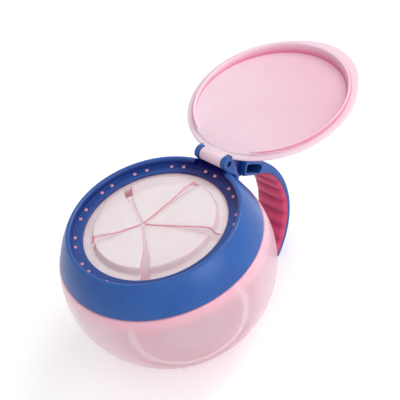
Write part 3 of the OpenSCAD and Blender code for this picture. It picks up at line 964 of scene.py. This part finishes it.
def leaf_edge(point):
    """1 along the slits, less on the step and at the collar, and 0 on the open faces."""
    radius = point.xy.length
    for _ in range(8):  # the centre and the radius settle to each other
        centre, sway = slit_course(radius)
        radius = (point.xy - centre).length
    turned = math.degrees(math.atan2(*(point.xy - centre).yx)) - sway - FIRST_SLIT + LEAF_ARC / 2
    half_width = slit_half_width(radius, int(turned // LEAF_ARC) % LEAVES)
    across = math.radians(abs(turned % LEAF_ARC - LEAF_ARC / 2)) * radius - half_width
    slit = ramp(across, 0.33, 0.03) if half_width else 0.0
    step = 0.24 * ramp(abs(radius - dome_r - 0.7), 1.7, 0.7)
    return max(slit, step, 0.45 * ramp(radius, ledge_r - 1.8, ledge_r - 0.3))


def make_leaf(k):
    """One leaf of the guard, between slits k and k + 1, with round edges along the slits."""
    near = (0, 0.04, 0.12, 0.25, 0.45, 0.8, 1.4)  # how far from a slit its nearest columns lie
    top, bottom = [], []
    for radius, z_top, z_under in leaf_profile():
        centre, sway = slit_course(radius)
        slits = [slit_half_width(radius, k + side) for side in (0, 1)]
        turns = [math.degrees(math.asin(min(0.9, half_width / radius))) for half_width in slits]
        first = FIRST_SLIT + LEAF_ARC * k + sway + turns[0]
        last = FIRST_SLIT + LEAF_ARC * (k + 1) + sway - turns[1]
        width = math.radians(last - first) * radius
        scale = min(1.0, 0.35 * width / near[-1])
        low = [step * scale for step in near]
        middle = [low[-1] + (width - 2 * low[-1]) * i / 24 for i in range(1, 24)]
        row_top, row_bottom = [], []
        for across in low + middle + [width - step for step in low[::-1]]:
            x, y = polar(radius, first + math.degrees(across / radius), centre)
            lip = min(across, width - across)
            drop = round_off(lip, LEAF_EDGE * scale) if slits[across > width / 2] else 0.0
            droop = LEAF_DROOP * math.exp(-lip / 1.2) if radius < dome_r else 0.0
            row_top.append((x, y, z_top - droop - drop))
            row_bottom.append((x, y, z_under - droop * 0.6 + drop))
        top.append(row_top)
        bottom.append(row_bottom)
    rings = [t + b[::-1] for t, b in zip(top, bottom)]
    leaf = tube(f"guard_leaf_{k + 1}", rings, crease=50)
    paint(leaf, "edge", leaf_edge)
    return leaf


# ---- Lid ----

def lip_radius(angle):
    """The flange's outer radius at an angle, with the thumb lip LIP_TURN degrees past -Y."""
    rise = lid_r + LIP_OUT - math.sqrt(lid_r ** 2 - (LIP_W / 2) ** 2)
    lip_r = ((LIP_W / 2) ** 2 + rise ** 2) / (2 * rise)
    centre = lid_r + LIP_OUT - lip_r
    off = angle + math.pi / 2 - math.radians(LIP_TURN)
    across = centre * math.sin(off)
    if math.cos(off) < 0 or abs(across) > lip_r:
        return lid_r
    reach = centre * math.cos(off) + math.sqrt(lip_r ** 2 - across ** 2)
    return max(lid_r, reach)


def lid_section(angle):
    """The closed lid's section at an angle: sloping floor, plug ring, flange and cap."""
    up = math.sin(angle)
    lean = math.tan(math.radians(23))
    ring_in = plug_r - PLUG_WALL
    recess_r = ring_in - (panel_z(0) - plug_z) * lean
    for _ in range(3):  # the recess's radius and the sloping floor's height settle to each other
        recess_r = ring_in - (panel_z(recess_r * up) - plug_z) * lean
    floor = panel_z(recess_r * up)
    fillet = min(0.5, (floor - plug_z) * 0.35)
    outer_r = lip_radius(angle)
    cap_r = plug_r + 0.6
    cap = []
    for i in range(25):
        radius = cap_r * (1 - i / 24) if i > 8 else cap_r - 0.4 * i
        rise = max(0.0, panel_z(radius * up) + PANEL_T - flange_top)
        share = ramp(radius, plug_r + 0.4, plug_r + 0.4 - CAP_SLOPE)
        cap.append((radius, flange_top + rise * share))
    ring = [(ring_in, plug_z, 0.45), (plug_r - 0.5, plug_z, 0.4), (plug_r, plug_z + 0.5, 0.2),
            (plug_r + 0.2, plug_z + 1, 0.2), (plug_r, plug_z + 1.5, 0.1)]
    flange = [(plug_r, flange_z, 0.15), (outer_r, flange_z, 0.55), (outer_r, flange_top, 0.6)]
    return rounded([(0, panel_z(0)), (recess_r, floor, fillet)] + ring + flange + cap)


def make_lid(material):
    """The snap lid with its plug ring, thumb lip, tab and knuckle, made closed and swung open."""
    lid = lathe("lid_shell", lid_section)
    wedge_from = plug_r - RAMP_LEN
    wedge = [(wedge_from, panel_z(wedge_from)), (plug_r + 1, flange_z - 0.05),
             (plug_r + 1, plug_z - 1), (wedge_from, plug_z - 1)]
    ear_rooms = []
    for side in (-1, 1):
        x_low, x_high = sorted((side * (ear_in - GAP), side * (ear_x + GAP)))
        ear_rooms.append(rod("ear_room", hinge_y, hinge_z, EAR_R + EAR_GAP, x_low, x_high, 64))
    cut(lid, prism("wedge", wedge, -RING_GAP / 2, RING_GAP / 2), *ear_rooms)

    def ring(point):
        """Painted shade: 1 where the plug ring's inner wall meets the floor, 0.7 on the ring's
        outer rim, less on the rest of both.
        """
        radius = point.xy.length
        if radius > plug_r + 0.3 or point.z > flange_z - 0.2 and radius > plug_r - 1:
            return 0.0
        if point.z > panel_z(point.y) - 0.12:
            # painted shade: the floor darker towards one side
            towards_side = 0.564 * point.x - 0.826 * point.y
            return 0.3 * ramp(towards_side, -36, 44)
        if radius > plug_r - 0.45:
            return 0.7
        return ramp(point.z, plug_z + 0.3, panel_z(point.y) + 0.3)

    paint(lid, "ring", ring)
    tab_from = plug_r - PLUG_WALL / 2
    knuckle = arc((hinge_y, hinge_z), KNUCKLE_R, -90, 90, 30)
    outline = rounded([(tab_from - 3, flange_z + 0.5), *knuckle,
                       (hinge_y - 2.6, flange_top + 0.4, 0.6), (tab_from - 3, flange_top)])
    tab = prism("lid_tab", outline, -knuckle_half, knuckle_half)
    cut(tab, rod("bore", hinge_y, hinge_z, PIN_D / 2 + 0.08, -ear_x, ear_x))
    soften(tab, 0.35)
    swing = (Matrix.Translation(Vector((0, hinge_y, hinge_z)) * MM)
             @ Matrix.Rotation(math.radians(-LID_OPEN), 4, "X")
             @ Matrix.Translation(Vector((0, -hinge_y, -hinge_z)) * MM))
    for piece in (lid, tab):
        piece.data.transform(swing)
    dress(lid, material, "lid", ["lid"])
    dress(tab, material, "lid")


# ---- Studio ----

def make_floor():
    """A large plane at the foot's level."""
    half = 3000
    corners = [(-half, -half, 0), (half, -half, 0), (half, half, 0), (-half, half, 0)]
    floor = new_piece("floor", corners, [(0, 1, 2, 3)])
    floor.data.materials.append(floor_finish())


def make_light(name, place, target, size, watts):
    """A soft square lamp, aimed at a point."""
    lamp = bpy.data.lights.new(name, "AREA")
    lamp.size = size * MM
    lamp.energy = watts
    holder = bpy.data.objects.new(name, lamp)
    holder.location = Vector(place) * MM
    aim = Vector(target) - Vector(place)
    holder.rotation_mode = "QUATERNION"
    holder.rotation_quaternion = aim.to_track_quat("-Z", "Y")
    bpy.context.scene.collection.objects.link(holder)


def make_world():
    """White to the camera and in reflections, and softer as a light."""
    world = bpy.data.worlds.new("studio")
    world.use_nodes = True
    bpy.context.scene.world = world
    nodes, links = world.node_tree.nodes, world.node_tree.links
    nodes.clear()
    fill = nodes.new("ShaderNodeBackground")
    fill.inputs["Color"].default_value = (0.97, 0.98, 1.0, 1.0)
    fill.inputs["Strength"].default_value = WORLD_FILL
    white = nodes.new("ShaderNodeBackground")
    white.inputs["Strength"].default_value = 1.0
    white.inputs["Color"].default_value = (1, 1, 1, 1)
    mix = nodes.new("ShaderNodeMixShader")
    output = nodes.new("ShaderNodeOutputWorld")
    links.new(seen_ray(nodes, links), mix.inputs["Fac"])
    links.new(fill.outputs[0], mix.inputs[1])
    links.new(white.outputs[0], mix.inputs[2])
    links.new(mix.outputs[0], output.inputs["Surface"])


def make_camera():
    """A long lens from above and to the right, tilted on its own axis."""
    azimuth, elevation, roll = 55.661, 42.089, -17.953
    distance, lens = 700.5, 124.3
    target_z, target_right, target_up = 15.314, 8.135, 53.004
    turn = (Matrix.Rotation(math.radians(azimuth), 3, "Z")
            @ Matrix.Rotation(math.radians(90 - elevation), 3, "X")
            @ Matrix.Rotation(math.radians(roll), 3, "Z"))
    place = turn @ Vector((target_right, target_up, distance)) + Vector((0, 0, target_z))
    data = bpy.data.cameras.new("camera")
    data.lens = lens
    data.sensor_width = 36
    data.clip_start, data.clip_end = 0.01, 20
    camera = bpy.data.objects.new("camera", data)
    camera.matrix_world = Matrix.Translation(place * MM) @ turn.to_4x4()
    bpy.context.scene.collection.objects.link(camera)
    bpy.context.scene.camera = camera


make_camera()
make_world()
make_floor()
make_light("key", (120, 700, 820), (0, 20, 50), 600, 4.6)
make_light("side", (900, 100, 480), (0, 20, 50), 600, 3.0)
make_light("front", (700, -700, 900), (0, 0, 50), 700, 1.8)

blue = collar_finish()
make_bowl(bowl_finish())
make_collar(blue)
make_arm(blue)
make_core(blue)
make_grip(grip_finish())
make_guard(guard_finish())
make_lid(lid_finish())
for node_name, finish in (("hinge_pin", pin_finish()), ("neck_seal", seal_finish())):
    node_mesh = frame["nodes"][node_name].data
    node_mesh.materials.clear()
    node_mesh.materials.append(finish)

bpy.context.scene.view_settings.view_transform = "Standard"
